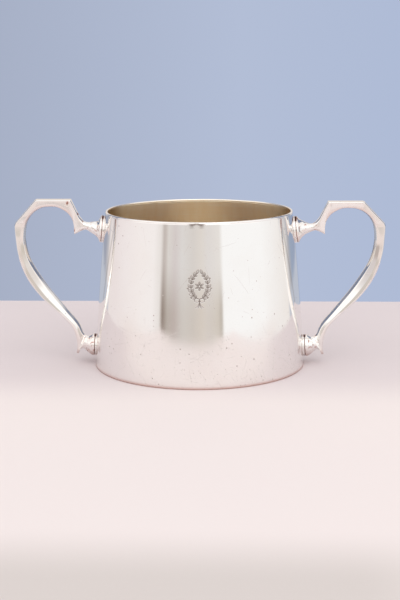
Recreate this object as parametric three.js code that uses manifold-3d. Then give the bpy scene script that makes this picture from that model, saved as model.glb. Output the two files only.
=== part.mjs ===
// A two-handled sugar bowl in polished silver plate.
// Millimetres, +Z up. The origin is the middle of the resting plane, on the bowl's axis.
// +X runs from the axis to the right-hand handle, and the front of the bowl faces -Y.
import * as THREE from 'three';
import { mergeVertices } from 'three/addons/utils/BufferGeometryUtils.js';
import Module from 'manifold-3d';

const wasm = await Module();
wasm.setup();

// ---- driving dimensions --------------------------------------------------------------------
const GAP = 0.3;                 // clearance left where two soldered pieces meet
const RIM_TOP = 64.9;            // height of the mouth
const RIM_WIRE = 1.1;            // height and radial width of the wire on the mouth
const RIM_PROUD = 0.15;          // how far the wire stands out past the wall
const BASE_R = 44.0;             // outer radius of the wall where it would meet the table
const MOUTH_R = 38.7;            // outer radius of the wall at the mouth
const BOW = 0.45;                // how far the side bulges past a straight cone, at mid height
const WALL = 1.0;                // sheet thickness
const FOOT_ROUND = 0.6;          // rounding of the outer lower edge
const SEAT_IN = 2.4;             // reach of the turned-in lower edge, from the outer face
const SEAT_T = 0.9;              // thickness of that turned-in edge
const PLATE_T = 1.0;             // thickness of the base plate

const HANDLE_T = 5.0;            // handle thickness, front to back
const JOINT = 1.05;              // distance from the wall to the joint of collar and handle
const UPPER_Z = 56.7;            // height at which the upper joint's axis leaves the wall
const LOWER_Z = 7.4;             // the same for the lower joint
const UPPER_DISC_R = 5.6;        // radius of the upper joint
const LOWER_DISC_R = 4.6;        // radius of the lower joint
const COLLAR_FOOT = 0.94;        // collar's foot on the wall, as a share of the joint's radius
const COLLAR_FULL_S = 0.5;       // distance from the wall at which the collar is full size

const TOP_Z = 69.05;             // the handle's flat top
const SPRING_Z = 57.6;           // height at which the handle's inner arch springs
const LEFT_LIFT = 0.4;           // the castings differ: how much taller the left arch is
const RIGHT_LIFT = -0.35;        // and the right one

const ROUND_SEGMENTS = 64;       // facets round the bowl
const COLLAR_SEGMENTS = 24;      // facets round a collar or a trumpet end
const WALL_STEPS = 9;            // steps up the bowed side
const WIRE_FLATS = 8;            // flats round the wire's section

// ---- materials -----------------------------------------------------------------------------
const silver = (name) => new THREE.MeshStandardMaterial({
  name, color: 0xe6e2dd, roughness: 0.12, metalness: 1,
});
const MATERIAL = {
  wall: silver('wall'),
  base: new THREE.MeshStandardMaterial({ name: 'base', color: 0xb9a98c, roughness: 0.3, metalness: 1 }),
  wire: silver('wire'),
  handle: silver('handle'),
  collar: silver('collar'),
};

// ---- the bowl's side -----------------------------------------------------------------------
// Outer radius at height z: a cone from BASE_R to MOUTH_R with a parabolic bow.
function wallRadius(z) {
  const t = z / RIM_TOP;
  return BASE_R + (MOUTH_R - BASE_R) * t + 4 * BOW * t * (1 - t);
}

// Angle of the wall's outward normal above the horizontal, at height z.
function wallTilt(z) {
  return Math.atan((wallRadius(z - 1) - wallRadius(z + 1)) / 2);
}

function latheRound(points, segments) {
  return new THREE.LatheGeometry(points, segments).rotateX(Math.PI / 2);
}

function ring(points) {
  return latheRound([...points, points[0]], ROUND_SEGMENTS);
}

function bodyWallGeometry() {
  const top = RIM_TOP - RIM_WIRE - GAP;
  const seatOuter = BASE_R - FOOT_ROUND;
  const corner = Math.SQRT1_2 * FOOT_ROUND;
  const points = [
    new THREE.Vector2(BASE_R - SEAT_IN, 0),
    new THREE.Vector2(seatOuter, 0),
    new THREE.Vector2(seatOuter + corner, FOOT_ROUND - corner),
  ];
  for (let i = 0; i <= WALL_STEPS; i += 1) {
    const z = FOOT_ROUND + (top - FOOT_ROUND) * i / WALL_STEPS;
    points.push(new THREE.Vector2(wallRadius(z), z));
  }
  for (let i = WALL_STEPS; i >= 0; i -= 1) {
    const z = SEAT_T + (top - SEAT_T) * i / WALL_STEPS;
    points.push(new THREE.Vector2(wallRadius(z) - WALL, z));
  }
  points.push(new THREE.Vector2(BASE_R - SEAT_IN, SEAT_T));
  return ring(points);
}

function basePlateGeometry() {
  const bottom = SEAT_T + GAP;
  const radius = wallRadius(bottom) - WALL - GAP;
  const points = [
    new THREE.Vector2(0, bottom),
    new THREE.Vector2(radius, bottom),
    new THREE.Vector2(radius, bottom + PLATE_T),
    new THREE.Vector2(0, bottom + PLATE_T),
  ];
  return latheRound(points, ROUND_SEGMENTS);
}

// The wire is round; its section has flats that touch a circle RIM_WIRE across.
function rimWireGeometry() {
  const middleR = MOUTH_R + RIM_PROUD - RIM_WIRE / 2;
  const middleZ = RIM_TOP - RIM_WIRE / 2;
  const reach = RIM_WIRE / 2 / Math.cos(Math.PI / WIRE_FLATS);
  const points = [];
  for (let i = 0; i < WIRE_FLATS; i += 1) {
    const angle = (i + 0.5) * 2 * Math.PI / WIRE_FLATS;
    points.push(new THREE.Vector2(middleR + reach * Math.cos(angle), middleZ + reach * Math.sin(angle)));
  }
  return ring(points);
}

// ---- joints between the wall and the handles -----------------------------------------------
// A turned piece whose axis leaves the right side of the wall at height z, square to the wall.
// Its profile is in pairs of radius and distance from the wall.
function turnedOnWall(profile, z) {
  const points = profile.map(([r, s]) => new THREE.Vector2(r, s));
  const geometry = latheRound(points, COLLAR_SEGMENTS);
  geometry.rotateY(Math.PI / 2 - wallTilt(z));
  return geometry.translate(wallRadius(z), 0, z);
}

// A low round pad, a little narrower at the wall, whose face meets the handle.
function collarGeometry(z, discR) {
  const face = JOINT - GAP / 2;
  return turnedOnWall([
    [0, GAP],
    [discR * COLLAR_FOOT, GAP],
    [discR, COLLAR_FULL_S],
    [discR, face],
    [0, face],
  ], z);
}

// A handle's end: a disc at the joint that draws in along a curve to a neck.
function trumpetGeometry(z, discR, flare) {
  const face = JOINT + GAP / 2;
  const end = flare[flare.length - 1][1];
  return turnedOnWall([[0, face], [discR, face], ...flare, [0, end]], z);
}

// Pairs of radius and distance from the wall.
const UPPER_FLARE = [[5.3, 1.65], [4.3, 2.1], [3.2, 2.8], [2.5, 3.6], [2.05, 4.7], [1.8, 6.0]];
const LOWER_FLARE = [[4.55, 1.9], [4.15, 2.6], [3.6, 3.4], [3.0, 4.2], [2.4, 5.2], [1.9, 6.2]];

// ---- the handle ----------------------------------------------------------------------------
// Outline of the handle's strap in the X-Z plane, right-hand side. The part above the spring
// line is stretched so that the flat top stands lift higher.
function strapOutline(lift) {
  const points = (pairs) => pairs.map(([x, z]) => {
    const above = Math.max(0, z - SPRING_Z) / (TOP_Z - SPRING_Z);
    return new THREE.Vector2(x, z + lift * above);
  });
  const shape = new THREE.Shape();
  const corners = (pairs) => points(pairs).forEach((corner) => shape.lineTo(corner.x, corner.y));
  const curve = (pairs) => shape.splineThru(points(pairs));
  shape.moveTo(43.6, 58.8);
  curve([[46.2, 59.3], [48.0, 60.0], [49.5, 61.8]]);                     // neck, upper side
  corners([[53.1, TOP_Z], [67.4, TOP_Z], [68.2, TOP_Z - 0.35]]);         // flat top
  corners([[76.7, 59.5], [77.1, 58.5]]);                                 // straight bevel
  curve([                                                                // long outer side
    [77.0, 54.5], [76.3, 47.2], [74.3, 39.9], [71.0, 33.4], [65.9, 27.0],
    [59.6, 21.0], [54.5, 15.5], [52.6, 11.0], [52.1, 7.0], [52.4, 3.6],
  ]);
  corners([[51.5, 3.5]]);                                                // lower spur
  curve([[50.9, 5.0], [49.6, 5.8], [48.2, 5.3], [46.4, 4.6]]);
  corners([[45.9, 10.8]]);
  curve([                                                                // long inner side
    [47.8, 11.3], [49.2, 12.4], [51.1, 17.0], [55.4, 21.8], [62.8, 30.7], [68.3, 38.8],
    [71.2, 44.6], [72.4, 50.0], [72.6, 54.5],
  ]);
  curve([                                                                // inner arch
    [71.6, 59.6], [69.4, 63.3], [65.8, 65.5], [62.1, 66.05], [58.5, 65.65], [54.7, 63.5],
    [52.6, 60.5], [52.05, SPRING_Z],
  ]);
  corners([[52.1, 54.6]]);                                               // upper spur
  curve([[51.7, 54.8], [50.3, 55.7], [48.0, 56.5], [46.0, 56.2], [43.6, 55.3]]);
  return shape;
}

function strapGeometry(lift) {
  const geometry = new THREE.ExtrudeGeometry(strapOutline(lift), {
    depth: HANDLE_T,
    curveSegments: 3,
    bevelEnabled: false,
  });
  return geometry.rotateX(Math.PI / 2).translate(0, HANDLE_T / 2, 0);
}

// Merging leaves triangles of no area where a lathe meets its axis, so those are dropped.
function toSolid(geometry) {
  geometry.deleteAttribute('normal');
  geometry.deleteAttribute('uv');
  const merged = mergeVertices(geometry, 1e-4);
  const index = merged.index.array;
  const triangles = [];
  for (let i = 0; i < index.length; i += 3) {
    const [a, b, c] = index.subarray(i, i + 3);
    if (a !== b && b !== c && c !== a) triangles.push(a, b, c);
  }
  return new wasm.Manifold(new wasm.Mesh({
    numProp: 3,
    vertProperties: merged.attributes.position.array,
    triVerts: new Uint32Array(triangles),
  }));
}

function fromSolid(solid) {
  const mesh = solid.getMesh();
  const geometry = new THREE.BufferGeometry();
  geometry.setAttribute('position', new THREE.BufferAttribute(mesh.vertProperties, 3));
  geometry.setIndex(new THREE.BufferAttribute(mesh.triVerts, 1));
  return geometry;
}

// The strap and its two trumpet ends, joined as one casting.
function handleGeometry(lift) {
  const upper = toSolid(trumpetGeometry(UPPER_Z, UPPER_DISC_R, UPPER_FLARE));
  const lower = toSolid(trumpetGeometry(LOWER_Z, LOWER_DISC_R, LOWER_FLARE));
  return fromSolid(toSolid(strapGeometry(lift)).add(upper).add(lower));
}

// ---- assembly ------------------------------------------------------------------------------
function part(name, geometry, material) {
  const mesh = new THREE.Mesh(geometry, material);
  mesh.name = name;
  return mesh;
}

// Everything on one side, built on the right and turned half round for the left.
function sideGroup(side, turn, lift) {
  const group = new THREE.Group();
  group.add(part(`${side}_handle`, handleGeometry(lift), MATERIAL.handle));
  group.add(part(`${side}_upper_socket`, collarGeometry(UPPER_Z, UPPER_DISC_R), MATERIAL.collar));
  group.add(part(`${side}_lower_socket`, collarGeometry(LOWER_Z, LOWER_DISC_R), MATERIAL.collar));
  group.rotation.z = turn;
  return group;
}

const bowl = new THREE.Group();
bowl.add(part('body_wall', bodyWallGeometry(), MATERIAL.wall));
bowl.add(part('base_plate', basePlateGeometry(), MATERIAL.base));
bowl.add(part('rim_wire', rimWireGeometry(), MATERIAL.wire));
bowl.add(sideGroup('right', 0, RIGHT_LIFT));
bowl.add(sideGroup('left', Math.PI, LEFT_LIFT));

export default bowl;
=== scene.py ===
"""A two-handled sugar bowl in polished silver plate, dressed for rendering.

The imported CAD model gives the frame. Its solids are faceted, and a mirror finish shows every
facet, so each solid is replaced here by a fine, smooth piece of the same size in the same place.
Lengths are in millimetres until a mesh is made, and +X runs along the two handles.
"""

import math

import bpy
import numpy as np
from mathutils import Matrix, Vector, noise

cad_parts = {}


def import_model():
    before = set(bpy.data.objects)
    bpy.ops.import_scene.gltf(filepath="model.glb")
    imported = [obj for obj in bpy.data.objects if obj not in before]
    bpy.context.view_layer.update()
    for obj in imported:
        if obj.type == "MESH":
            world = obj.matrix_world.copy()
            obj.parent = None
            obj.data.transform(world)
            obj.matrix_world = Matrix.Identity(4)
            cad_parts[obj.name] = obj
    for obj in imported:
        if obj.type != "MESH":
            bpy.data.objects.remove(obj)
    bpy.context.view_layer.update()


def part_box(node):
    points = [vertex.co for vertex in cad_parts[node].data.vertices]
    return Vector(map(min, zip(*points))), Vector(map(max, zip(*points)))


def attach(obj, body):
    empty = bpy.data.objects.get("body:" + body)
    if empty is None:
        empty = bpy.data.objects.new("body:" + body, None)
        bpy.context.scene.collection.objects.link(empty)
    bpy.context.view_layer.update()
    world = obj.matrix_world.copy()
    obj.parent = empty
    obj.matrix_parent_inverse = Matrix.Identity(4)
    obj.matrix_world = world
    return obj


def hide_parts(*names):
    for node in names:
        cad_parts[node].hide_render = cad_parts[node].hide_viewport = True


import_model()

MM = 0.001
TAU = 2 * math.pi

# ---------------------------------------------------------------- sizes taken from the frame

RIM_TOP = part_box("rim_wire")[1].z / MM
WALL_TUCK = 0.8            # how far the wall runs on past the CAD's top edge, up behind the wire
WALL_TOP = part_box("body_wall")[1].z / MM + WALL_TUCK
PLATE_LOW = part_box("base_plate")[0].z / MM
PLATE_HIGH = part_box("base_plate")[1].z / MM

# ---------------------------------------------------------------- sizes the frame can't give

BASE_R = 44.0              # outer radius of the wall where it would meet the table
MOUTH_R = 38.7             # outer radius of the wall at the mouth
BOW = 0.45                 # how far the side bulges past a straight cone, at mid height
WALL = 1.0                 # sheet thickness
SEAT_IN = 2.4              # reach of the turned-in lower edge, from the outer face
SEAT_T = 0.9               # thickness of that turned-in edge
FOOT_ROUND = 0.35          # rounding of the outer lower edge
BEATEN = 0.035             # unevenness of the raised wall
RIM_WIRE = 1.1             # thickness of the wire on the mouth
RIM_PROUD = 0.1            # how far the wire stands out past the wall
RIM_STEPS = 480            # points round the wire
RIM_FLATS = 20             # points round its section
DISH = 0.3                 # how far the base plate sinks in its middle
LATHE_RING = 0.012         # height of the spun rings on the base plate
LATHE_TURNS = 5.2          # their closeness, in radians to a millimetre

UPPER_Z = 56.7             # height at which a handle's upper joint leaves the wall
LOWER_Z = 7.4              # the same for the lower joint
UPPER_DISC_R = 5.6         # radius of the upper joint
LOWER_DISC_R = 4.6         # radius of the lower joint
SEAM = 0.85                # distance from the wall to the seam of collar and handle
SEAM_SOIL = 0.56           # how dirty the seam is
CHEEK_PULL = 0.55          # how closely a joint's two cheeks follow the round of the wall
JOINT_REACH = 8.0          # nothing of a joint lies further than this from its axis

TOP_Z = 69.05              # the handle's flat top
SPRING_Z = 57.6            # height at which the handle's inner arch springs
LEFT_LIFT = 0.4            # the castings differ: how much taller the left arch is
RIGHT_LIFT = -0.35         # and the right one
STRAP_HALF = 2.5           # half the strap's depth, front to back
CREASE_ROUND = 0.14        # rounding of the strap's creases
LEAN_OUT = 0.3             # crown of its outer side
MAIN_FALL = 0.09           # slope of its main face
EASE = 17                  # rows over which a change in its section is eased

LIP_MARK_TURN = math.radians(0.6)    # place of the knock under the rim, round the axis
LIP_MARK_Z = 64.05                   # and its height
WREATH_TURN = math.radians(2.0)      # place of the wreath's middle, round the axis
WREATH_Z = 39.5                      # and its height
WREATH_HALF_W = 6.2                  # half the width of the patch that holds the wreath
WREATH_HALF_H = 8.6                  # and half its height
STEM_HALF_W = 3.3                    # half the width of the loop that the two stems make
STEM_HALF_H = 4.9                    # and half its height
FLOWER_UP = 1.0                      # height of the flower and the loop's middle in the patch
STROKE_HALF = 0.155                  # half the width of an engraved stroke
STROKE_DEEP = 0.07                   # and its depth


def tone(code):
    """A linear colour from a six-digit sRGB code."""
    parts = [int(code[i:i + 2], 16) / 255 for i in (0, 2, 4)]
    return tuple(p / 12.92 if p <= 0.04045 else ((p + 0.055) / 1.055) ** 2.4 for p in parts) + (1.0,)


# ---------------------------------------------------------------- node graphs

class Graph:
    """Short calls for building one node tree."""

    def __init__(self, tree):
        self.tree = tree
        tree.nodes.clear()

    def add(self, kind, *inputs, out=0, **settings):
        """Adds a node. Each input is a socket to link, a value, or None to leave alone."""
        node = self.tree.nodes.new(kind)
        named = settings.pop("named", {})
        for key, value in settings.items():
            setattr(node, key, value)
        for place, value in list(enumerate(inputs)) + list(named.items()):
            self.set(node.inputs[place], value)
        return node.outputs[out] if out is not None else node

    def set(self, socket, value):
        if value is None:
            return
        if isinstance(value, bpy.types.NodeSocket):
            self.tree.links.new(value, socket)
        else:
            socket.default_value = value

    def math(self, operation, a, b=None, c=None, clamp=False):
        return self.add("ShaderNodeMath", a, b, c, operation=operation, use_clamp=clamp)

    def step(self, value, low, high, start=0.0, end=1.0):
        """A smooth step from start to end as value goes from low to high."""
        kind = "ShaderNodeMapRange"
        return self.add(kind, value, low, high, start, end, interpolation_type="SMOOTHSTEP")

    def product(self, first, *others):
        for other in others:
            first = self.math("MULTIPLY", first, other)
        return first

    def mix(self, factor, a, b, blend="MIX"):
        node = self.add("ShaderNodeMix", factor, data_type="RGBA", blend_type=blend, out=None)
        self.set(node.inputs[6], a)
        self.set(node.inputs[7], b)
        return node.outputs[2]

    def noise(self, vector, scale, detail=2.0, rough=0.5):
        named = {"Vector": vector, "Scale": scale, "Detail": detail, "Roughness": rough}
        return self.add("ShaderNodeTexNoise", named=named)

    def stretched(self, vector, scale):
        return self.add("ShaderNodeMapping", vector, named={"Scale": scale})


# ---------------------------------------------------------------- silver

# Layers of scratches: cell size, half length and half width in millimetres, the share of cells
# that hold one high up and near the foot, and a shift that sets each layer apart.
SCRATCHES = [
    (14.0, 6.5, 0.06, 0.30, 0.70, 0.0),
    (9.0, 4.2, 0.05, 0.30, 0.75, 3.7),
    (4.5, 1.8, 0.05, 0.12, 0.55, 8.1),
    (2.0, 0.35, 0.10, 0.02, 0.30, 5.3),
]
FOOT_WEAR = (33.0, 9.0)    # wear grows from the first of these heights down to the second
# painted shade: the inside's gilding darkens towards both sides between these distances
GILT_SHADE_ENDS = (33.0, 38.0)   # the gilding darkens between these distances to either side

PLATE = "F8F6F4"
SCRATCH_TONE = "9A877C"
PIT_TONE = "927A6E"
GILT_DULL = "FFF1DB"
GILT_BRIGHT = "FFF7E6"
GILT_MOTTLE = "F0D6A6"
# painted shade for the gilding at both sides of the inside
GILT_SIDE_SHADE = "BC9A6E"
# a warm brown: the base metal in the seams, and painted shade on the wall's foot, under the trumpets and
# inside the arches
BASE_METAL_AND_SHADE = "C3968A"
DIRT = "33221F"
# grey for engraved lines and the knock under the rim, and painted shade along the handles' inner sides
CUT_TONE = "75675F"


def scratch_layer(g, lay, cell, half_length, half_width, share, shift):
    """Straight or faintly bowed scratches, at most one in each random cell of the unrolled surface."""
    moved = {"Location": (shift, 0.7 * shift, 0), "Scale": (1 / cell,) * 3}
    spot = g.add("ShaderNodeMapping", lay, named=moved)
    scattered = {"Vector": spot, "Scale": 1.0}
    cells = g.add("ShaderNodeTexVoronoi", voronoi_dimensions="2D", named=scattered, out=None)
    local = g.add("ShaderNodeVectorMath", spot, cells.outputs["Position"], operation="SUBTRACT")
    luck = g.add("ShaderNodeSeparateXYZ", cells.outputs["Color"], out=None).outputs
    turn = {"Vector": local, "Angle": g.math("MULTIPLY", luck[0], 17.0)}
    spun = g.add("ShaderNodeVectorRotate", rotation_type="Z_AXIS", named=turn)
    u, v = g.add("ShaderNodeSeparateXYZ", spun, out=None).outputs[:2]
    bow = g.product(u, u, g.math("MULTIPLY_ADD", luck[1], 0.3, -0.15))
    off = g.math("ABSOLUTE", g.math("SUBTRACT", v, bow))
    line = g.step(off, 0.3 * half_width / cell, half_width / cell, 1.0, 0.0)
    ends = g.step(g.math("ABSOLUTE", u), 0.5 * half_length / cell, half_length / cell, 1.0, 0.0)
    return g.product(line, ends, g.math("GREATER_THAN", share, luck[2]))


def scratches(g, place, lay, low):
    """All the layers, thicker near the foot and in some patches."""
    patch = g.step(g.noise(place, 0.07, 3.0), 0.38, 0.66, 0.45, 1.3)
    scuffs = None
    for cell, half_length, half_width, few, many, shift in SCRATCHES:
        share = g.product(g.math("MULTIPLY_ADD", low, many - few, few), patch)
        layer = scratch_layer(g, lay, cell, half_length, half_width, share, shift)
        scuffs = layer if scuffs is None else g.math("MAXIMUM", scuffs, layer)
    return scuffs


def pitting(g, place, low):
    """Small round pits, in one random cell of ten high up and six of ten near the foot."""
    cells = g.add("ShaderNodeTexVoronoi", named={"Vector": place, "Scale": 0.55}, out=None)
    luck = g.add("ShaderNodeSeparateXYZ", cells.outputs["Color"], out=None).outputs
    reach = g.math("MULTIPLY_ADD", luck[2], 0.12, 0.055)
    pit = g.step(g.math("DIVIDE", cells.outputs["Distance"], reach), 0.5, 1.3, 1.0, 0.0)
    return g.product(pit, g.math("GREATER_THAN", g.math("MULTIPLY_ADD", low, 0.5, luck[0]), 0.9))


def gilding(g, place, streaks):
    """The colour of the yellowed inside: streaked round the bowl, mottled, and darkened at both sides with
    painted shade.
    """
    gilt = g.mix(g.step(streaks, 0.3, 0.7), tone(GILT_DULL), tone(GILT_BRIGHT))
    mottle = g.noise(g.stretched(place, (0.3, 0.3, 0.05)), 1.0, 3.0, 0.6)
    gilt = g.mix(g.step(mottle, 0.62, 0.4, 0.0, 0.15), gilt, tone(GILT_MOTTLE))
    # painted shade towards both sides, along the handles' line
    across = g.math("ABSOLUTE", g.add("ShaderNodeSeparateXYZ", place, out=0))
    return g.mix(g.step(across, *GILT_SHADE_ENDS), gilt, tone(GILT_SIDE_SHADE))


def silver(name, warm="EBDDD3", wear=1.0, tarnish=0.1):
    """Polished silver plate: mirror metal with haze, scratches, pits and a breath of tarnish.

    Three numbers on each point of the mesh change it: cut greys engraved lines and knocks, and paints a
    band of shade on the handles, inside gilds it, and the third, for dirt and painted shade, runs from
    bright metal by a warm brown to dark dirt.
    """
    material = bpy.data.materials.new(name)
    material.use_nodes = True
    g = Graph(material.node_tree)
    place = g.add("ShaderNodeTexCoord", out=3)
    place = g.add("ShaderNodeVectorMath", place, operation="SCALE", named={"Scale": 1 / MM})
    lay = g.add("ShaderNodeUVMap", uv_map="lay")
    low = g.step(g.add("ShaderNodeSeparateXYZ", place, out=2), *FOOT_WEAR)
    scuffs = scratches(g, place, lay, low)
    pits = pitting(g, place, low)
    streaks = g.noise(g.stretched(place, (0.03, 0.03, 3.0)), 1.0, 4.0, 0.7)
    cut, inside, soil = (g.add("ShaderNodeAttribute", attribute_name=label, out=2)
                         for label in ("cut", "inside", "soil"))

    cloudy = g.step(g.noise(place, 0.055, 4.0, 0.6), 0.42, 0.70)
    colour = g.mix(g.math("MULTIPLY", cloudy, tarnish), tone(PLATE), tone(warm))
    colour = g.mix(g.math("MULTIPLY", pits, 0.7 * wear), colour, tone(PIT_TONE))
    colour = g.mix(g.math("MULTIPLY", scuffs, 0.42 * wear), colour, tone(SCRATCH_TONE))
    colour = g.mix(inside, colour, gilding(g, place, streaks))
    # the warm brown and the dark dirt: real soil in seams, specks and dents, and painted shade and
    # reflection on the foot and the handles
    colour = g.mix(g.math("MULTIPLY", soil, 2.0, clamp=True), colour, tone(BASE_METAL_AND_SHADE))
    colour = g.mix(g.math("MULTIPLY_ADD", soil, 2.0, -1.0, clamp=True), colour, tone(DIRT))
    colour = g.mix(g.math("MULTIPLY", cut, 0.92), colour, tone(CUT_TONE))

    haze = g.noise(g.stretched(place, (0.3, 0.3, 5.0)), 1.0, 3.0)
    rough = g.step(haze, 0.3, 0.75, 0.03, 0.06)
    grime_and_shade = g.math("MAXIMUM", cut, soil)
    roughened = ((low, 0.10 * wear), (scuffs, 0.25), (pits, 0.3), (inside, 0.34), (grime_and_shade, 0.4))
    for mask, amount in roughened:
        rough = g.math("MULTIPLY_ADD", mask, amount, rough, clamp=True)

    polish = g.noise(g.stretched(place, (0.04, 0.04, 7.0)), 1.0, 2.0)
    relief = g.math("MULTIPLY", polish, 0.001)
    relief = g.math("SUBTRACT", relief, g.math("MULTIPLY", scuffs, 0.006))
    relief = g.math("SUBTRACT", relief, g.math("MULTIPLY", pits, 0.03))
    relief = g.math("ADD", relief, g.math("MULTIPLY", g.product(streaks, inside), 0.02))
    bump = g.add("ShaderNodeBump", named={"Distance": MM, "Strength": 0.6, "Height": relief})

    shader = g.add("ShaderNodeBsdfPrincipled", out=None)
    shader.inputs["Metallic"].default_value = 1.0
    g.set(shader.inputs["Base Color"], colour)
    g.set(shader.inputs["Roughness"], rough)
    g.set(shader.inputs["Normal"], bump)
    g.add("ShaderNodeOutputMaterial", shader.outputs[0], out=None)
    return material


# ---------------------------------------------------------------- meshes

def mesh_piece(name, points, faces, material, lay=None, **attributes):
    """A smooth-shaded object from points in millimetres, with a number per point for each attribute."""
    mesh = bpy.data.meshes.new(name)
    mesh.from_pydata((np.asarray(points) * MM).tolist(), [], faces)
    if lay is not None:
        mesh.uv_layers.new(name="lay").data.foreach_set("uv", np.asarray(lay, dtype=np.float32).ravel())
    mesh.validate()
    mesh.shade_smooth()
    for label, values in attributes.items():
        layer = mesh.attributes.new(label, "FLOAT", "POINT")
        layer.data.foreach_set("value", np.asarray(values, dtype=np.float32).ravel())
    mesh.materials.append(material)
    piece = bpy.data.objects.new(name, mesh)
    bpy.context.scene.collection.objects.link(piece)
    return piece


def skin(rows, columns, wrap_rows):
    """Quads over a grid of points whose columns close on themselves, with capped or joined ends."""
    faces = []
    last = rows if wrap_rows else rows - 1
    for i in range(last):
        here = i * columns
        after = ((i + 1) % rows) * columns
        for j in range(columns):
            k = (j + 1) % columns
            faces.append((here + j, here + k, after + k, after + j))
    if not wrap_rows:
        faces.append(tuple(reversed(range(columns))))
        faces.append(tuple(range((rows - 1) * columns, rows * columns)))
    return faces


def lay_out(across, along, wrap_rows):
    """The unrolled place, in millimetres, of every corner of skin's faces."""
    rows = len(along) - 1 if wrap_rows else len(along)
    columns = len(across) - 1
    left, right = np.asarray(across)[:-1], np.asarray(across)[1:]
    corners = []
    for i in range(rows if wrap_rows else rows - 1):
        here, after = np.full(columns, along[i]), np.full(columns, along[i + 1])
        four = [left, here, right, here, right, after, left, after]
        corners.append(np.stack(four, axis=1).reshape(-1, 2))
    if not wrap_rows:
        corners.append(np.zeros((2 * columns, 2)))
    return np.concatenate(corners)


def arc_lengths(line):
    """How far along a line each of its points lies."""
    return np.concatenate([[0], np.cumsum(np.linalg.norm(np.diff(line, axis=0), axis=1))])


def running_length(loops, wrap):
    """How far round a middling ring each point lies, and how far along the run of rings each ring lies."""
    ring = loops[len(loops) // 2]
    across = arc_lengths(np.concatenate([ring, ring[:1]]))
    track = loops.mean(axis=1) if wrap else loops[:, 0]
    along = arc_lengths(np.concatenate([track, track[:1]]) if wrap else track)
    return across, along


def catmull(points, steps):
    """Points on a uniform Catmull-Rom curve through the given ones, the first left out."""
    points = [np.array(p, float) for p in points]
    out = []
    for i in range(len(points) - 1):
        p0 = points[max(i - 1, 0)]
        p1, p2 = points[i], points[i + 1]
        p3 = points[min(i + 2, len(points) - 1)]
        v0, v1 = (p2 - p0) * 0.5, (p3 - p1) * 0.5
        for k in range(1, steps + 1):
            t = k / steps
            cubic = 2 * p1 - 2 * p2 + v0 + v1
            square = -3 * p1 + 3 * p2 - 2 * v0 - v1
            out.append(cubic * t ** 3 + square * t * t + v0 * t + p1)
    return out


def wall_radius(z):
    """The wall's outer radius at height z: a cone with a parabolic bow."""
    t = z / RIM_TOP
    return BASE_R + (MOUTH_R - BASE_R) * t + 4 * BOW * t * (1 - t)


def wall_tilt(z):
    """The angle of the wall's outward normal above the horizontal, at height z."""
    return math.atan((wall_radius(z - 1) - wall_radius(z + 1)) / 2)


def rings(profile, columns, place):
    """Rings round an axis. place turns a radius, an angle and a distance along the axis into a point."""
    return np.array([[place(r, TAU * j / columns, s) for j in range(columns)] for r, s in profile])


def ripple(points, size, depth, seed):
    """A small smooth unevenness, in millimetres, for each point."""
    shift = Vector((seed * 7.3, seed * 3.1, seed * 5.7))
    return np.array([noise.noise(Vector(p) / size + shift) for p in points]) * depth


# ---------------------------------------------------------------- the engraved wreath

def arc(start, end, bulge, steps=8):
    """A curved stroke from start to end that bows to its left by bulge times its length."""
    start, end = np.array(start, float), np.array(end, float)
    side = np.array([start[1] - end[1], end[0] - start[0]])
    t = np.linspace(0, 1, steps + 1)[:, None]
    return start + (end - start) * t + side * bulge * 4 * t * (1 - t)


def leaf(root, angle, length):
    """Two bowed strokes and a midrib."""
    tip = np.array(root) + length * np.array([math.cos(angle), math.sin(angle)])
    rib_end = np.array(root) + 0.6 * (tip - np.array(root))
    return [arc(root, tip, 0.24), arc(root, tip, -0.24), arc(root, rib_end, 0.0, 2)]


def berry(centre, radius=0.24):
    """A small ring."""
    ring = np.linspace(0, TAU, 9)
    return np.stack([centre[0] + radius * np.cos(ring), centre[1] + radius * np.sin(ring)], axis=1)


def wreath_spray(side):
    """One laurel spray and its half of the ribbon, on the side whose sign is given."""
    stem = []
    for angle in np.radians(np.linspace(-88, 70, 25)):
        stem.append((side * STEM_HALF_W * math.cos(angle), FLOWER_UP + STEM_HALF_H * math.sin(angle)))
    strokes = [np.array(stem)]
    for k in range(7):
        at = np.array(stem[3 + 3 * k])
        ahead = np.array(stem[4 + 3 * k]) - at
        lean = math.atan2(ahead[1], ahead[0])
        size = 2.0 - 0.07 * k
        strokes += leaf(at, lean - side * 0.6, size)
        strokes += leaf(at, lean + side * 0.6, size * 0.8)
        if k % 2:
            strokes.append(berry(at + 1.25 * side * np.array([math.sin(lean), -math.cos(lean)])))
    strokes += leaf(stem[-1], math.atan2(0.9, -0.35 * side), 1.9)
    strokes.append(arc((0, -3.9), (side * 2.0, -4.7), 0.35 * side))
    strokes.append(arc((side * 2.0, -4.7), (0, -4.1), 0.35 * side))
    strokes.append(arc((0, -4.1), (side * 1.5, -7.2), -0.16 * side))
    strokes.append(arc((side * 0.25, -4.6), (side * 0.75, -7.4), -0.16 * side))
    return strokes


def wreath_strokes():
    """Two laurel sprays tied with a ribbon round a small flower, centred on the origin."""
    strokes = wreath_spray(-1) + wreath_spray(1)
    heart = 0.45
    for turn in TAU * (np.arange(6) + 0.5) / 6:
        root = (heart * math.cos(turn), FLOWER_UP + heart * math.sin(turn))
        strokes += leaf(root, turn, 1.35)
    strokes.append(berry((0.0, FLOWER_UP), heart))
    return strokes


def stroke_depth(spots, strokes, half_width):
    """How deep each spot lies in the nearest stroke, from 0 outside to 1 on its middle line."""
    nearest = np.full(len(spots), 1e9)
    for line in strokes:
        for a, b in zip(line[:-1], line[1:]):
            run = b - a
            t = np.clip(((spots - a) @ run) / max(run @ run, 1e-9), 0, 1)
            nearest = np.minimum(nearest, np.hypot(*(spots - a - t[:, None] * run).T))
    return np.clip(1 - nearest / half_width, 0, 1)


# ---------------------------------------------------------------- wall, rim and base

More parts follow.
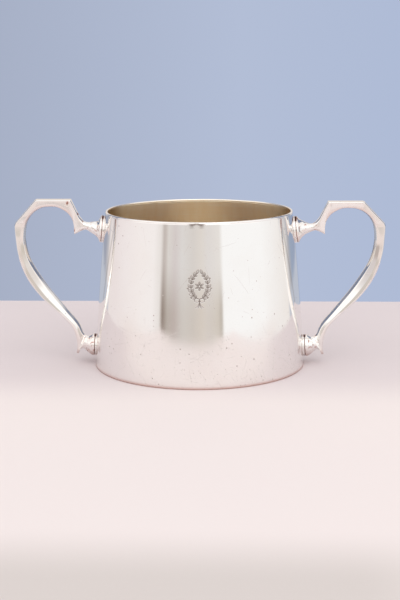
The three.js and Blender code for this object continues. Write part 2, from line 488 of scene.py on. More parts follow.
def fine_between(low, high, low_fine, high_fine, coarse, fine):
    """Values from low to high, closely spaced between low_fine and high_fine."""
    before = np.arange(low, low_fine, coarse)
    middle = np.arange(low_fine, high_fine, fine)
    after = np.linspace(high_fine, high, max(2, int((high - high_fine) / coarse)))
    return np.concatenate([before, middle, after])


def lip_mark(turn, height):
    """A dark knock in the joint under the front of the rim, about six millimetres long."""
    along = (turn - LIP_MARK_TURN) * MOUTH_R
    waver = 0.16 * np.cos(along * 1.6)
    across = (height - LIP_MARK_Z - waver) / 0.42
    return np.exp(-(along / 3.0) ** 6 - across ** 4) * (0.7 + 0.3 * np.abs(np.sin(along * 0.75)))


def wall_profile(heights):
    """The wall's section as radius and height, and the rows where three of its stretches begin.

    They are the outer face, the top edge and the inside, which starts in the middle of that edge.
    """
    profile = [(BASE_R - SEAT_IN, SEAT_T - 0.2), (BASE_R - SEAT_IN, 0.15), (BASE_R - SEAT_IN + 0.12, 0.0)]
    corner = wall_radius(FOOT_ROUND) - FOOT_ROUND
    for angle in np.linspace(0, math.pi / 2, 7):
        profile.append((corner + FOOT_ROUND * math.sin(angle), FOOT_ROUND * (1 - math.cos(angle))))
    profile.append((wall_radius(1.0), 1.0))
    outer = len(profile)
    profile += [(wall_radius(z), z) for z in heights]
    edge = len(profile)
    edge_r = wall_radius(WALL_TOP)
    profile += [(edge_r - 0.1, WALL_TOP - 0.05), (edge_r - 0.3, WALL_TOP)]
    inside = len(profile)
    profile += [(edge_r - 0.75, WALL_TOP), (edge_r - 0.95, WALL_TOP - 0.1)]
    profile += [(wall_radius(z) - WALL, z) for z in np.linspace(WALL_TOP - 0.5, SEAT_T + 0.1, 22)]
    profile += [(wall_radius(SEAT_T) - WALL - 0.1, SEAT_T), (BASE_R - SEAT_IN + 0.1, SEAT_T)]
    return np.array(profile), outer, edge, inside


def round_bowl(radius, turn, height):
    """Points from their distance and bearing from the axis, and their height."""
    return np.stack([radius * np.sin(turn), -radius * np.cos(turn), height], axis=-1).reshape(-1, 3)


def engraving(turn, height, outer, edge):
    """How deep the wreath is cut, from 0 to 1, at each point. It lies between two rows of the wall."""
    sideways = (turn - WREATH_TURN) * wall_radius(WREATH_Z)
    upward = height - WREATH_Z
    near = (np.abs(upward) < WREATH_HALF_H) & (np.abs(sideways) < WREATH_HALF_W)
    near[:outer] = False
    near[edge:] = False
    spots = np.stack([sideways[near], upward[near]], axis=1)
    cut = np.zeros(turn.shape)
    cut[near] = stroke_depth(spots, wreath_strokes(), STROKE_HALF)
    return cut


def body_wall(material):
    """The raised wall: outside with its engraving, turned-in seat, ledge and inside."""
    half_turn = WREATH_HALF_W / wall_radius(WREATH_Z)
    fine_turns = (WREATH_TURN - half_turn, WREATH_TURN + half_turn)
    turns = fine_between(-math.pi, math.pi, *fine_turns, TAU / 240, 0.0034)[:-1]
    fine_heights = (WREATH_Z - WREATH_HALF_H, WREATH_Z + WREATH_HALF_H)
    heights = fine_between(1.4, WALL_TOP - 0.7, *fine_heights, 1.2, 0.15)
    heights = np.append(heights, WALL_TOP - np.array([0.55, 0.4, 0.2]))
    profile, outer, edge, inner = wall_profile(heights)

    rows, columns = len(profile), len(turns)
    radius = np.repeat(profile[:, 0:1], columns, axis=1)
    height = np.repeat(profile[:, 1:2], columns, axis=1)
    turn = np.repeat(turns[None, :], rows, axis=0)
    cut = engraving(turn, height, outer, edge)
    radius -= STROKE_DEEP * cut
    swell = ripple(round_bowl(radius, turn, height) * (1, 1, 0.45), 15.0, BEATEN, 1)
    from_ends = np.clip((height - 1.0) / 6.0, 0, 1) * np.clip((WALL_TOP - height) / 6.0, 0, 1)
    radius += swell.reshape(rows, columns) * from_ends

    inside = np.zeros((rows, columns))
    inside[inner:] = 1.0
    # painted shade: a warm brown darkening along the lowest 1.7 mm of the outside, standing in for the
    # contact shadow and the dark reflection at the foot
    soil = np.clip((1.7 - height) / 1.4, 0, 1) ** 1.5 * 0.4
    soil[inner:] = 0.0
    cut = np.clip(cut * 1.6, 0, 1)
    cut[outer:inner] = np.maximum(cut, lip_mark(turn, height))[outer:inner]
    around = np.append(turns, turns[0] + TAU) * BASE_R
    closed = np.concatenate([profile, profile[:1]])
    lay = lay_out(around, arc_lengths(closed), True)
    marks = {"cut": cut, "inside": inside, "soil": soil}
    points = round_bowl(radius, turn, height)
    return mesh_piece("wall_raised", points, skin(rows, columns, True), material, lay, **marks)


def rim_wire(material):
    """The round wire soldered round the mouth."""
    middle_r = MOUTH_R + RIM_PROUD - RIM_WIRE / 2
    middle_z = RIM_TOP - RIM_WIRE / 2
    turns, angles = (np.linspace(0, TAU, count, endpoint=False) for count in (RIM_STEPS, RIM_FLATS))
    turn, angle = np.meshgrid(turns, angles, indexing="ij")
    radius = middle_r + RIM_WIRE / 2 * np.cos(angle)
    points = round_bowl(radius, turn, middle_z + RIM_WIRE / 2 * np.sin(angle))
    points[:, 2] += np.minimum(0, ripple(points, 9.0, 0.05, 2))
    lay = lay_out(*running_length(points.reshape(RIM_STEPS, RIM_FLATS, 3), True), True)
    inward = -np.cos(angle).ravel()
    gilt = np.clip((inward - 0.6) / 0.25, 0, 1)
    cut = lip_mark(np.arctan2(points[:, 0], -points[:, 1]), points[:, 2]) * (inward < 0)
    faces = skin(RIM_STEPS, RIM_FLATS, True)
    return mesh_piece("rim_bead", points, faces, material, lay, inside=gilt, cut=cut)


def base_plate(material):
    """The let-in base: a slightly dished disc with spun rings and a soft fillet of solder round it."""
    edge = wall_radius(PLATE_LOW) - WALL - 0.02
    profile = [(0.05, PLATE_LOW + 0.25)]
    profile += [(r, PLATE_LOW + 0.25 * (1 - (r / edge) ** 2)) for r in np.linspace(3, edge - 0.2, 14)]
    profile += [(edge, PLATE_LOW + 0.1), (edge, PLATE_HIGH + 0.5)]
    top_from = len(profile)
    profile.append((edge - 0.35, PLATE_HIGH + 0.12))
    for r in np.linspace(edge - 0.8, 0.05, 80):
        sunk = DISH * (1 - (r / edge) ** 2)
        profile.append((r, PLATE_HIGH - sunk + LATHE_RING * math.sin(r * LATHE_TURNS)))
    loops = rings(profile, 160, lambda r, a, s: (r * math.sin(a), -r * math.cos(a), s))
    rows, columns = loops.shape[:2]
    inside = (np.arange(rows) >= top_from).repeat(columns).astype(float)
    lay = lay_out(*running_length(loops, False), False)
    points = loops.reshape(-1, 3)
    return mesh_piece("base_let_in", points, skin(rows, columns, False), material, lay, inside=inside)


def on_wall(side, z):
    """A placing function for shapes turned on an axis that leaves the wall squarely at height z."""
    tilt = wall_tilt(z)
    foot = wall_radius(z)

    def place(r, angle, s):
        out = foot + s * math.cos(tilt) - r * math.sin(angle) * math.sin(tilt)
        up = z + s * math.sin(tilt) + r * math.sin(angle) * math.cos(tilt)
        return (side * out, side * r * math.cos(angle), up)
    return place


def along_axis(points, z):
    """Each point's distance along the axis that leaves the wall at height z, and its height across it."""
    tilt = wall_tilt(z)
    outward = np.abs(points[:, 0]) - wall_radius(z)
    upward = points[:, 2] - z
    s = outward * math.cos(tilt) + upward * math.sin(tilt)
    return s, upward * math.cos(tilt) - outward * math.sin(tilt)


def follow_wall(points, side, z):
    """Draws back the two cheeks of what stands on the wall at height z, as the round wall does."""
    s, across = along_axis(points, z)
    pull = CHEEK_PULL * points[:, 1] ** 2 / wall_radius(z)
    pull *= np.clip((3.0 - s) / 1.8, 0, 1) * (np.abs(across) < JOINT_REACH)
    points[:, 0] -= side * pull * math.cos(wall_tilt(z))
    points[:, 2] -= pull * math.sin(wall_tilt(z))


def joint_gap(points, z, notch):
    """Dirt in the seam between collar and handle, with a dark notch where the seam runs out on top."""
    s, across = along_axis(points, z)
    from_top = np.degrees(np.arctan2(np.abs(points[:, 1]), across))
    near = np.clip(1.8 - np.abs(s - SEAM) / 0.3, 0, 1)
    return near * np.clip((notch - from_top) / 4, 0, 1) * (np.abs(across) < JOINT_REACH)


def socket(name, side, z, disc_r, notch, material):
    """The collar between the wall and a handle: a low pad with a rounded edge and a dirty seam."""
    profile = [(0.05, -0.5), (disc_r * 0.94, -0.5), (disc_r * 0.95, 0.0), (disc_r * 0.98, 0.2)]
    for angle in np.linspace(0, math.pi / 2, 7):
        profile.append((disc_r - 0.15 + 0.15 * math.cos(angle), SEAM - 0.3 + 0.15 * math.sin(angle)))
    rim_rows = len(profile)
    profile += [(disc_r - 0.3, SEAM - 0.14), (disc_r - 0.34, SEAM + 0.2), (0.05, SEAM + 0.2)]
    loops = rings(profile, 96, on_wall(side, z))
    rows, columns = loops.shape[:2]
    points = loops.reshape(-1, 3)
    soil = (np.arange(rows) >= rim_rows).repeat(columns) * SEAM_SOIL
    soil = np.maximum(soil, joint_gap(points, z, notch))
    follow_wall(points, side, z)
    lay = lay_out(*running_length(loops, False), False)
    return mesh_piece(name, points, skin(rows, columns, False), material, lay, soil=soil)


# ---------------------------------------------------------------- handles

# Outlines of the trumpets, in pairs of radius and distance from the wall. The two upper ones
# differ from side to side along the top, and so do the necks' two lines, in x and z.
UNDER_FLARE = [(5.6, 1.0), (5.6, 1.15), (5.35, 1.45), (4.4, 2.1), (3.3, 3.0), (2.6, 4.0), (2.1, 5.0)]
LOWER_FLARE = [(4.6, 1.0), (4.6, 1.4), (4.55, 1.9), (4.15, 2.6), (3.6, 3.4), (3.0, 4.2)]
LEFT_UPPER = {
    "top": [(5.6, 1.0), (5.6, 1.3), (5.35, 1.8), (4.5, 2.2), (3.3, 2.65), (2.9, 3.5), (2.65, 5.0)],
    "neck": [(46.2, 59.65), (48.0, 60.15), (49.5, 61.8)],
    "under": [(46.8, 56.4), (48.3, 56.35), (50.3, 55.45), (51.7, 54.75)],
}
RIGHT_UPPER = {
    "top": [(5.6, 1.0), (5.6, 1.3), (5.25, 1.7), (4.5, 2.2), (3.9, 2.9), (3.4, 3.7), (2.7, 4.8)],
    "neck": [(46.2, 59.25), (48.0, 60.0), (49.5, 61.8)],
    "under": [(46.8, 56.0), (48.3, 56.3), (50.3, 55.6), (51.7, 54.8)],
}

# The strap's two long edges, in x and z.
OUTER_SIDE = [
    (77.1, 58.5), (77.0, 54.5), (76.3, 47.2), (74.3, 39.9), (71.0, 33.4), (65.9, 27.0), (59.6, 21.0),
    (54.5, 15.5), (52.6, 11.0), (52.1, 7.0), (52.4, 3.6),
]
INNER_ARCH = [
    (52.05, SPRING_Z), (52.65, 60.4), (54.8, 63.3), (58.5, 65.4), (62.1, 65.75), (65.7, 65.2), (69.2, 63.1),
    (71.6, 59.6), (72.5, 54.5), (72.2, 50.0), (70.9, 44.8), (67.9, 39.1), (62.4, 31.0), (55.1, 22.0),
    (51.1, 17.0), (49.2, 12.4), (47.8, 11.3), (46.6, 11.15),
]


def flare_side(flare, z, sign):
    """One side of a trumpet's outline, from its disc outwards."""
    place = on_wall(1, z)
    points = [place(r, sign * math.pi / 2, s) for r, s in flare]
    return [(p[0], p[2]) for p in points]


def strap_contours(upper):
    """The handle's two long edges, from the upper disc to the lower one, as dense lines in x and z."""
    upper_top = flare_side(upper["top"], UPPER_Z, 1)
    upper_low = flare_side(UNDER_FLARE, UPPER_Z, -1)
    lower_top = flare_side(LOWER_FLARE, LOWER_Z, 1)
    lower_low = flare_side(LOWER_FLARE, LOWER_Z, -1)
    outer = upper_top[:3] + catmull(upper_top[2:] + upper["neck"], 8)
    outer += [(53.1, TOP_Z), (67.4, TOP_Z), (68.2, TOP_Z - 0.35), (76.7, 59.5), (77.1, 58.5)]
    outer += catmull(OUTER_SIDE, 12) + [(51.5, 3.5)]
    outer += catmull([(51.5, 3.5), (50.9, 5.0), (49.6, 5.8), (48.2, 5.0)] + lower_low[:2:-1], 6)
    outer += lower_low[2::-1]
    inner = upper_low[:3] + catmull(upper_low[2:] + upper["under"], 8)
    inner += [(52.1, 54.6), (52.05, SPRING_Z)]
    inner += catmull(INNER_ARCH, 12)
    inner += catmull([(46.6, 11.15)] + lower_top[:2:-1], 6) + lower_top[2::-1]
    return np.array(outer), np.array(inner)


# Ribs that cross the strap: a point on the outer edge, its partner on the inner edge, how many
# rows lead up to it, and the section there, which is a flatness (0 is round), half the thickness,
# and then the outer bevel's width, half the outer side's thickness, the place of the ridge as a
# share of the width, the slope of the inner face and the lean of the inner side.
RIBS = [
    ((46.2, 59.25), (46.8, 56.0), 40, (0.0, 1.8, 0.6, 1.0, 0.7, 0.3, 0.6)),
    ((48.0, 60.0), (48.6, 56.4), 8, (0.3, 1.9, 0.6, 1.15, 0.7, 0.3, 0.6)),
    ((49.5, 61.8), (50.6, 55.55), 10, (0.8, 2.15, 0.7, 1.45, 0.8, 0.3, 0.5)),
    ((50.7, 64.25), (52.1, 54.6), 10, (1.0, 2.3, 0.7, 1.65, 0.86, 0.3, 0.45)),
    ((51.5, 65.85), (52.05, SPRING_Z), 10, (1.0, 2.4, 0.7, 1.75, 0.82, 0.3, 0.45)),
    ((53.1, TOP_Z), (54.2, 63.0), 22, (1.0, 2.5, 0.65, 1.9, 0.75, 0.3, 0.45)),
    ((60.25, TOP_Z), (60.6, 66.0), 26, (1.0, 2.5, 0.55, 1.9, 0.62, 0.3, 0.45)),
    ((67.4, TOP_Z), (66.7, 65.1), 26, (1.0, 2.5, 0.6, 1.9, 0.66, 0.3, 0.45)),
    ((68.2, 68.7), (67.2, 64.85), 8, (1.0, 2.5, 0.6, 1.9, 0.66, 0.3, 0.45)),
    ((76.7, 59.5), (71.7, 59.2), 40, (1.0, 2.5, 0.6, 1.85, 0.74, 0.3, 0.5)),
    ((77.1, 58.5), (72.1, 57.8), 8, (1.0, 2.5, 0.62, 1.82, 0.72, 0.3, 0.55)),
    ((77.0, 54.5), (72.5, 54.5), 14, (1.0, 2.5, 0.7, 1.75, 0.60, 0.3, 0.65)),
    ((76.6, 50.0), (72.2, 50.0), 16, (1.0, 2.5, 0.8, 1.7, 0.48, 0.3, 0.85)),
    ((74.3, 39.9), (69.6, 41.2), 30, (1.0, 2.5, 0.9, 1.6, 0.42, 0.3, 0.98)),
    ((71.0, 33.4), (66.0, 35.3), 24, (1.0, 2.5, 0.9, 1.6, 0.41, 0.3, 1.0)),
    ((59.6, 21.0), (55.4, 21.8), 44, (0.95, 2.5, 0.8, 1.6, 0.40, 0.3, 1.0)),
    ((54.5, 15.5), (51.3, 17.4), 20, (0.85, 2.3, 0.7, 1.4, 0.42, 0.32, 0.95)),
    ((52.6, 11.0), (49.9, 13.6), 16, (0.7, 2.15, 0.7, 1.25, 0.45, 0.34, 0.7)),
    ((52.1, 7.0), (49.2, 12.4), 12, (0.6, 2.1, 0.7, 1.15, 0.5, 0.3, 0.7)),
    ((52.4, 3.6), (48.7, 11.85), 10, (0.6, 2.15, 0.7, 1.1, 0.5, 0.3, 0.6)),
    ((51.5, 3.5), (48.4, 11.6), 5, (0.6, 2.2, 0.7, 1.1, 0.5, 0.3, 0.6)),
    ((49.6, 5.8), (47.8, 11.3), 12, (0.3, 2.5, 0.7, 1.1, 0.5, 0.3, 0.6)),
    ((48.2, 5.0), (47.0, 11.2), 8, (0.0, 2.9, 0.7, 1.1, 0.5, 0.3, 0.6)),
]


def place_on(line, lengths, spot):
    """How far along a line its nearest point to spot lies."""
    best = (1e9, 0.0)
    for i in range(len(line) - 1):
        run = line[i + 1] - line[i]
        t = np.clip(((spot - line[i]) @ run) / max(run @ run, 1e-12), 0, 1)
        gap = np.hypot(*(spot - line[i] - t * run))
        if gap < best[0]:
            best = (gap, lengths[i] + t * (lengths[i + 1] - lengths[i]))
    return best[1]


CREASE_STEPS = (2, 2, 4, 4, 3)     # points on each flat of half a section, from crown to inner side
CREASE_CURVE = (0.2, 0.4, 0.6, 0.8, 1.0)     # and the points that round off each crease
SECTION_POINTS = 2 * (sum(CREASE_STEPS) + (len(CREASE_STEPS) - 1) * len(CREASE_CURVE))
LOWER_FLARE_ROWS = 30


def strap_half(width, half, bevel, edge, ridge, slope, lean):
    """The near half of the strap's section, from its outer side to its inner one.

    It has a crowned outer side, a narrow bevel, a main face that falls a little, a steeper inner
    face and an inner side that leans. Every crease falls on the same points of every section, so
    that it runs cleanly along the strap.
    """
    main_end = max(ridge * width, bevel + 0.1)
    inner_end = max(width - lean, main_end + 0.1)
    main_drop = MAIN_FALL * (main_end - bevel)
    inner_drop = slope * (inner_end - main_end)
    corners = np.array([
        (0.0, 0.0), (LEAN_OUT, edge), (bevel, half), (main_end, half - main_drop),
        (inner_end, half - main_drop - inner_drop), (width, 0.0),
    ])
    line = [corners[0]]
    for i, count in enumerate(CREASE_STEPS):
        here, after = corners[i], corners[i + 1]
        length = max(np.hypot(*(after - here)), 1e-6)
        trim = min(CREASE_ROUND, 0.4 * length) / length
        start = here + (after - here) * (trim if i else 0.0)
        end = after - (after - here) * (trim if i < len(CREASE_STEPS) - 1 else 0.0)
        if i:
            for t in CREASE_CURVE:
                line.append((1 - t) ** 2 * line_end + 2 * t * (1 - t) * here + t * t * start)
        for k in range(1, count + 1):
            line.append(start + (end - start) * k / count)
        line_end = end
    return np.array(line)


def strap_section(*shape):
    """Points round a ridged strap: distance from the outer edge and height off the middle plane."""
    near = strap_half(*shape)
    return np.concatenate([near, near[-2:0:-1] * (1, -1)])


def placed_ribs(outer, outer_len, inner, inner_len):
    """The ribs with their points as places along the two edges, and one more at each disc."""
    first, last = RIBS[0][3], RIBS[-1][3]
    ribs = [(0.0, 0.0, 0, (0.0, UPPER_DISC_R) + first[2:])]
    for out_spot, in_spot, count, section in RIBS:
        out_place = place_on(outer, outer_len, np.array(out_spot))
        in_place = place_on(inner, inner_len, np.array(in_spot))
        ribs.append((out_place, in_place, count, section))
    ribs.append((outer_len[-1], inner_len[-1], LOWER_FLARE_ROWS, (0.0, LOWER_DISC_R) + last[2:]))
    return ribs


def strap_loops(upper):
    """Closed loops of points across the handle, from the upper disc to the lower one.

    Between two ribs everything changes evenly, and the changes are then eased so that no face
    turns sharply at a rib. The first and last stretches are round.
    """
    outer, inner = strap_contours(upper)
    outer_len, inner_len = arc_lengths(outer), arc_lengths(inner)
    ribs = placed_ribs(outer, outer_len, inner, inner_len)
    rows = []
    for before, after in zip(ribs[:-1], ribs[1:]):
        start, end = (np.array(rib[:2] + rib[3]) for rib in (before, after))
        rows.append(start + (end - start) * np.arange(after[2])[:, None] / after[2])
    rows = np.concatenate(rows + [end[None, :]])
    top = np.stack([np.interp(rows[:, 0], outer_len, outer[:, i]) for i in (0, 1)], axis=1)
    low = np.stack([np.interp(rows[:, 1], inner_len, inner[:, i]) for i in (0, 1)], axis=1)
    width = np.linalg.norm(low - top, axis=1)
    sections = rows[:, 2:]
    round_to, round_from = ribs[1][2], len(rows) - 1 - LOWER_FLARE_ROWS
    sections[:round_to, 1] = width[:round_to] / 2
    sections[round_from:, 1] = width[round_from:] / 2
    window = np.hanning(EASE + 2)[1:-1]
    window /= window.sum()
    padded = np.pad(sections, ((EASE // 2, EASE // 2), (0, 0)), mode="edge")
    eased = np.stack([np.convolve(column, window, mode="valid") for column in padded.T], axis=1)
    blend = np.clip(eased[:, :1] * 3, 0, 1)
    sections = sections * (1 - blend) + eased * blend

    angles = np.linspace(0, TAU, SECTION_POINTS, endpoint=False)
    loops = []
    for start, end, span, (flatness, half, *creases) in zip(top, low, width, sections):
        flat_x, flat_y = strap_section(span, min(half, STRAP_HALF), *creases).T
        x = span * (1 - np.cos(angles)) / 2 * (1 - flatness) + flat_x * flatness
        y = half * np.sin(angles) * (1 - flatness) + flat_y * flatness
        across = (end - start) / max(span, 1e-6)
        loops.append(np.stack([start[0] + across[0] * x, y, start[1] + across[1] * x], axis=1))
    return np.array(loops)


def grown(values, start, reach):
    """A mask that grows from 0 at start to 1 at start + reach. A negative reach turns it round."""
    return np.clip((values - start) / reach, 0, 1)


def handle_soil(points, inward, seed):
    """Dirt and painted shade on a casting: a warm painted reflection inside the arch, specks on the
    trumpets, and painted shade under both trumpets.
    """
    x, z = points[:, 0], points[:, 2]
    # painted reflection: a warm brown on the inner part of the arch
    soil = 0.2 * grown(inward, 0.55, 0.35) * grown(z, 57.0, 4.0) * grown(x, 50.0, 3.0)
    specks = ripple(points, 0.9, 1.0, seed + 5) * grown(x, 51.5, -3.0)
    soil = np.maximum(soil, 1.3 * np.clip(specks - 0.24, 0, 0.5))
    # painted shade: warm brown under the lower trumpet and, more faintly, under the upper one
    under = 0.3 * grown(z, 6.5, -3.0) + 0.1 * grown(z, 56.5, -3.0) * (z > 48.0)
    return np.maximum(soil, under * grown(x, 54.0, -2.0))


def handle_inner_shade(points, inward):
    """Painted shade: dull grey along the inner side of the loop's outer run, standing in for its dark
    reflection there.
    """
    x, z = points[:, 0], points[:, 2]
    halfway = grown(z, 66.0, -4.0) * grown(z, 41.0, 8.0) * grown(x, 56.0, 4.0)
    return 0.32 * grown(inward, 0.84, 0.08) * halfway


def handle(name, side, lift, upper, notches, dents, material, seed):
    """One cast handle: a single skin from the upper disc along the strap to the lower disc."""
    loops = strap_loops(upper)
    rows, columns = loops.shape[:2]
    lay = lay_out(*running_length(loops, False), False)
    points = loops.reshape(-1, 3)
    soil = np.zeros(len(points))
    for z, notch in zip((UPPER_Z, LOWER_Z), notches):
        soil = np.maximum(soil, joint_gap(points, z, notch))
        follow_wall(points, 1, z)
    for x, z, reach, depth, dirt in dents:
        far = np.hypot(points[:, 0] - x, points[:, 2] - z) / reach
        front = points[:, 1] * side < 0
        points[:, 1] *= 1 - depth * np.exp(-far ** 2) * front
        soil = np.maximum(soil, dirt * np.exp(-far ** 4) * front)
    points[:, 2] += lift * grown(points[:, 2], SPRING_Z, TOP_Z - SPRING_Z)
    span = loops[:, SECTION_POINTS // 2] - loops[:, 0]
    inward = ((loops - loops[:, :1]) * span[:, None]).sum(axis=2) / (span ** 2).sum(axis=1)[:, None]
    soil = np.maximum(soil, handle_soil(points, inward.ravel(), seed))
    # painted shade along the inner sides, carried in the cut channel
    cut = handle_inner_shade(points, inward.ravel())
    points[:, 1] += ripple(points, 6.0, 0.05, seed) * grown(points[:, 0], 47.0, 3.0)
    points[:, :2] *= side
    return mesh_piece(name, points, skin(rows, columns, False), material, lay, soil=soil, cut=cut)


# ---------------------------------------------------------------- the table and the light

FLOOR_LEFT = -190.0
FLOOR_RIGHT = 170.0
FLOOR_FRONT = -233.0
FLOOR_BACK = 130.0
FLOOR_T = 12.0             # thickness of the table top
FLOOR_EDGE = 3.0           # rounding of its edge


def pale_cloth():
    """Plain cloth, pinkish and a little cloudy, with painted light making it paler before the bowl and
    painted shade making it greyer at the front edge.
    """
    material = bpy.data.materials.new("pale_cloth")
    material.use_nodes = True
    g = Graph(material.node_tree)
    place = g.add("ShaderNodeTexCoord", out=3)
    x, y = g.add("ShaderNodeSeparateXYZ", place, out=None).outputs[:2]
    colour = g.mix(g.noise(place, 18.0, 3.0), tone("E1D6D8"), tone("E5DADC"))
    # painted light: the cloth is paler in front of the bowl
    colour = g.mix(g.step(y, -0.02, -0.065), colour, tone("EFE5E4"))
    # painted shade: a grey patch at the middle of the front edge, where the bowl's lower front reflects the
    # cloth
    off_middle = g.math("ABSOLUTE", g.math("ADD", x, 0.025))
    edge = g.product(g.step(y, -0.18, -0.215), g.step(off_middle, 0.11, 0.07))
    colour = g.mix(edge, colour, tone("D6CECB"))
    weave = g.noise(g.stretched(place, (900, 900, 900)), 1.0, 1.0)
    bump = g.add("ShaderNodeBump", named={"Distance": 0.0002, "Strength": 0.25, "Height": weave})
    shader = g.add("ShaderNodeBsdfPrincipled", out=None)
    g.set(shader.inputs["Base Color"], colour)
    shader.inputs["Roughness"].default_value = 0.9
    g.set(shader.inputs["Normal"], bump)
    g.add("ShaderNodeOutputMaterial", shader.outputs[0], out=None)
    return material


def floor():
    """A cloth-covered table top with a rounded edge."""
    corners = [(FLOOR_LEFT, FLOOR_FRONT), (FLOOR_RIGHT, FLOOR_FRONT)]
    corners += [(FLOOR_RIGHT, FLOOR_BACK), (FLOOR_LEFT, FLOOR_BACK)]
    points = [(x, y, z) for z in (-FLOOR_T, 0.0) for x, y in corners]
    sides = [(i, (i + 1) % 4, (i + 1) % 4 + 4, i + 4) for i in range(4)]
    slab = mesh_piece("floor", points, [(3, 2, 1, 0), (4, 5, 6, 7)] + sides, pale_cloth())
    bevel = slab.modifiers.new("edge", "BEVEL")
    bevel.width = FLOOR_EDGE * MM
    bevel.segments = 4


# Colours of the room by compass bearing: degrees from the front, growing towards the right.
ROOM = [
    (-180, "B3BED6"), (-158, "9DA4B7"), (-142, "A4A9B8"), (-133, "C4C3C8"), (-128, "EFE7E5"),
    (-112, "F0E7E7"), (-92, "F5EEEE"), (-72, "F9F3F2"), (-52, "F9F4F3"), (-43, "ECE7E4"),
    (-39.5, "C6BDB8"), (-37, "CEC5C0"), (-34, "E0DCD8"), (-26, "D9D1D0"), (-18, "E1DEDC"),
    (-5, "DCD7D3"), (4, "E3DDD7"), (12, "E4E0DE"), (25, "EAE6E2"), (29, "FFFFFF"), (78, "FFFFFF"),
    (97, "F9F7F6"), (122, "F3EEEA"), (131, "B4B4BA"), (138, "9DAAC0"), (156, "9AA5BD"),
    (170, "AEBBD6"), (180, "B3BED6"),
]

# The shade that deepens the room's dark stretch in front, near the horizon and below it.
SHADE = [
    (-43, "FFFFFF"), (-40.6, "D2CBC5"), (-39.2, "C0B8B2"), (-37.5, "CFC9C3"), (-26, "E4DED9"),
    (-14, "F2EFEB"), (8, "F6F3EF"), (22, "ECE8E1"), (26.5, "CFC9C2"), (28.5, "FFFFFF"),
]


def ramp(g, turn, bands):
    """Colours by compass bearing. turn runs from 0 to 1 and each band is degrees and a colour."""
    node = g.add("ShaderNodeValToRGB", turn, out=None)
    stops = node.color_ramp.elements
    while len(stops) < len(bands):
        stops.new(0.5)
    for stop, (degrees, code) in zip(stops, bands):
        stop.position = degrees / 360 + 0.5
    for stop, (degrees, code) in zip(stops, bands):
        stop.color = tone(code)
    return node.outputs[0]


def room_behind(g, colour, x, y, z):
    """Behind the bowl: a dark stretch and a low ledge on each side, and a pale wall in the middle."""
    out = g.math("ABSOLUTE", x)
    band = g.product(g.step(z, -0.07, 0.03), g.step(z, 0.7, 0.6))
    dark = g.product(band, g.step(y, 0.34, 0.46), g.step(out, 0.2, 0.32))
    colour = g.mix(dark, colour, tone("818BA2"))
    beside = g.product(g.step(z, -0.06, 0.0), g.step(out, 0.26, 0.32))
    middle = g.product(g.math("MAXIMUM", g.step(z, 0.05, 0.08), beside), g.step(y, 0.8, 0.88))
    colour = g.mix(middle, colour, tone("EDE3DA"))
    ledge = g.product(g.step(z, -0.115, -0.135), g.step(out, 0.26, 0.34), g.step(y, 0.5, 0.6))
    return g.mix(ledge, colour, tone("BFC5D2"))


def slanting_line(g, turn, z):
    """A mask for a thin dark line on both sides of the room, which sinks as it runs back."""
    bearing = g.math("ABSOLUTE", g.math("MULTIPLY_ADD", turn, 360.0, -180.0))
    off = g.math("ABSOLUTE", g.math("ADD", bearing, g.math("MULTIPLY_ADD", z, 170.0, -113.3)))
    return g.product(g.step(off, 1.8, 0.6), g.step(z, 0.0, -0.05))


def world():
    """A pale room: bright on the right, softer on the left, greyer in front and blue behind."""
    room = bpy.data.worlds.new("pale_room")
    bpy.context.scene.world = room
    room.use_nodes = True
    g = Graph(room.node_tree)
    way = g.add("ShaderNodeTexCoord", out=0)
    x, y, z = g.add("ShaderNodeSeparateXYZ", way, out=None).outputs
    turn = g.math("ARCTAN2", x, g.math("MULTIPLY", y, -1.0))
    turn = g.math("MULTIPLY_ADD", turn, 1 / TAU, 0.5)
    behind = g.step(y, -0.2, 0.3)
    high = g.step(g.math("SUBTRACT", z, g.math("MULTIPLY", behind, 0.45)), 0.085, 0.2)
    colour = g.mix(high, ramp(g, turn, ROOM), tone("FFFDFB"))
    shade = g.mix(g.step(z, 0.02, -0.07), tone("FFFFFF"), ramp(g, turn, SHADE))
    colour = g.mix(1.0, colour, shade, "MULTIPLY")
    low = g.product(g.step(z, -0.1, -0.145), g.math("SUBTRACT", 1.0, behind))
    colour = g.mix(low, colour, tone("F0E3DE"))
    colour = room_behind(g, colour, x, y, z)
    line = g.math("MULTIPLY", slanting_line(g, turn, z), 0.4)
    colour = g.mix(line, colour, tone("8C8784"))
    strength = g.math("MULTIPLY_ADD", g.product(high, g.step(y, 0.1, -0.3)), 0.16, 1.0)
    background = g.add("ShaderNodeBackground", colour, strength)
    g.add("ShaderNodeOutputWorld", background, out=None)


def softbox(name, place, aim, size, power):
    """A square lamp at place, turned towards aim."""
    lamp = bpy.data.lights.new(name, "AREA")
    lamp.size = size
    lamp.energy = power
    light = bpy.data.objects.new(name, lamp)
    light.location = place
    light.rotation_euler = (Vector(aim) - Vector(place)).to_track_quat("-Z", "Y").to_euler()
    bpy.context.scene.collection.objects.link(light)


CAMERA_PLACE = (0.01717, -0.48570, 0.12660)    # metres
CAMERA_LENS = 70.8
CAMERA_YAW = 2.0                               # degrees, to the left of straight ahead
CAMERA_DOWN = 11.61
CAMERA_ROLL = -0.24


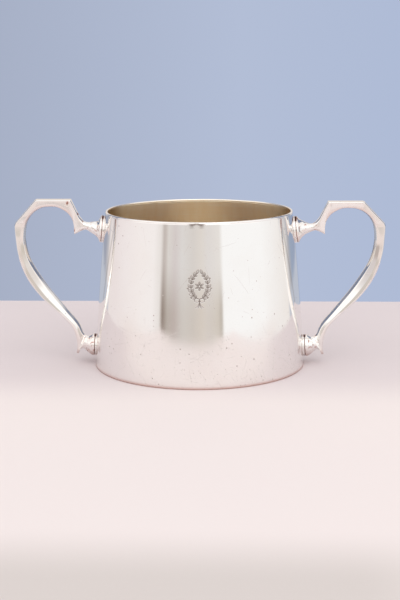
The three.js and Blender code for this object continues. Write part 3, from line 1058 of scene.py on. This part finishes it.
def camera():
    """The camera stands a little to the right of the bowl's front and looks slightly down."""
    lens = bpy.data.cameras.new("camera")
    lens.lens = CAMERA_LENS
    lens.sensor_width = 36.0
    view = bpy.data.objects.new("camera", lens)
    turn = Matrix.Rotation(math.radians(CAMERA_YAW), 4, "Z")
    pitch = Matrix.Rotation(math.radians(90 - CAMERA_DOWN), 4, "X")
    roll = Matrix.Rotation(math.radians(CAMERA_ROLL), 4, "Z")
    view.matrix_world = Matrix.Translation(CAMERA_PLACE) @ turn @ pitch @ roll
    bpy.context.scene.collection.objects.link(view)
    bpy.context.scene.camera = view


# ---------------------------------------------------------------- assembly

camera()
world()
softbox("key", place=(0.35, -0.75, 1.0), aim=(0, 0, 0), size=0.7, power=1.5)
floor()
bpy.context.scene.view_settings.view_transform = "Standard"

# Each handle: its name and side, how far its arch is lifted, its upper trumpet, how far its two
# seams' dark notches reach round from the top in degrees, its dents, and a seed for its unevenness.
# A dent has a place in x and z, a reach, a depth as a share of the strap's, and a dirt.
HANDLES = [
    ("left", -1, LEFT_LIFT, LEFT_UPPER, (34, 32),
     [(54.4, 67.8, 0.5, 0.14, 1.0), (52.3, 56.3, 0.6, 0.0, 0.8), (50.1, 63.2, 0.5, 0.0, 0.7)], 3),
    ("right", 1, RIGHT_LIFT, RIGHT_UPPER, (46, 30), [(54.0, 67.8, 0.35, 0.06, 0.35)], 4),
]

wall_silver = silver("silver_wall")
wire_silver = silver("silver_wire", wear=0.6)
handle_silver = silver("silver_handles", warm="F0DACD", wear=0.7, tarnish=0.2)
collar_silver = silver("silver_collars", wear=0.8)
base_silver = silver("silver_base")


def hand_in(piece, slot, *nodes):
    """Puts a finished piece on the one body, in place of its CAD nodes."""
    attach(piece, "root")
    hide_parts(*nodes)


hand_in(body_wall(wall_silver), "wall", "body_wall")
hand_in(rim_wire(wire_silver), "wire", "rim_wire")
hand_in(base_plate(base_silver), "base", "base_plate")
for label, side, lift, upper, notches, dents, seed in HANDLES:
    loop = handle(label + "_loop", side, lift, upper, notches, dents, handle_silver, seed)
    hand_in(loop, "handle", label + "_handle")
    levels = (("upper", UPPER_Z, UPPER_DISC_R), ("lower", LOWER_Z, LOWER_DISC_R))
    for (level, z, disc_r), notch in zip(levels, notches):
        collar = socket(f"{label}_{level}_collar", side, z, disc_r, notch, collar_silver)
        hand_in(collar, "collar", f"{label}_{level}_socket")
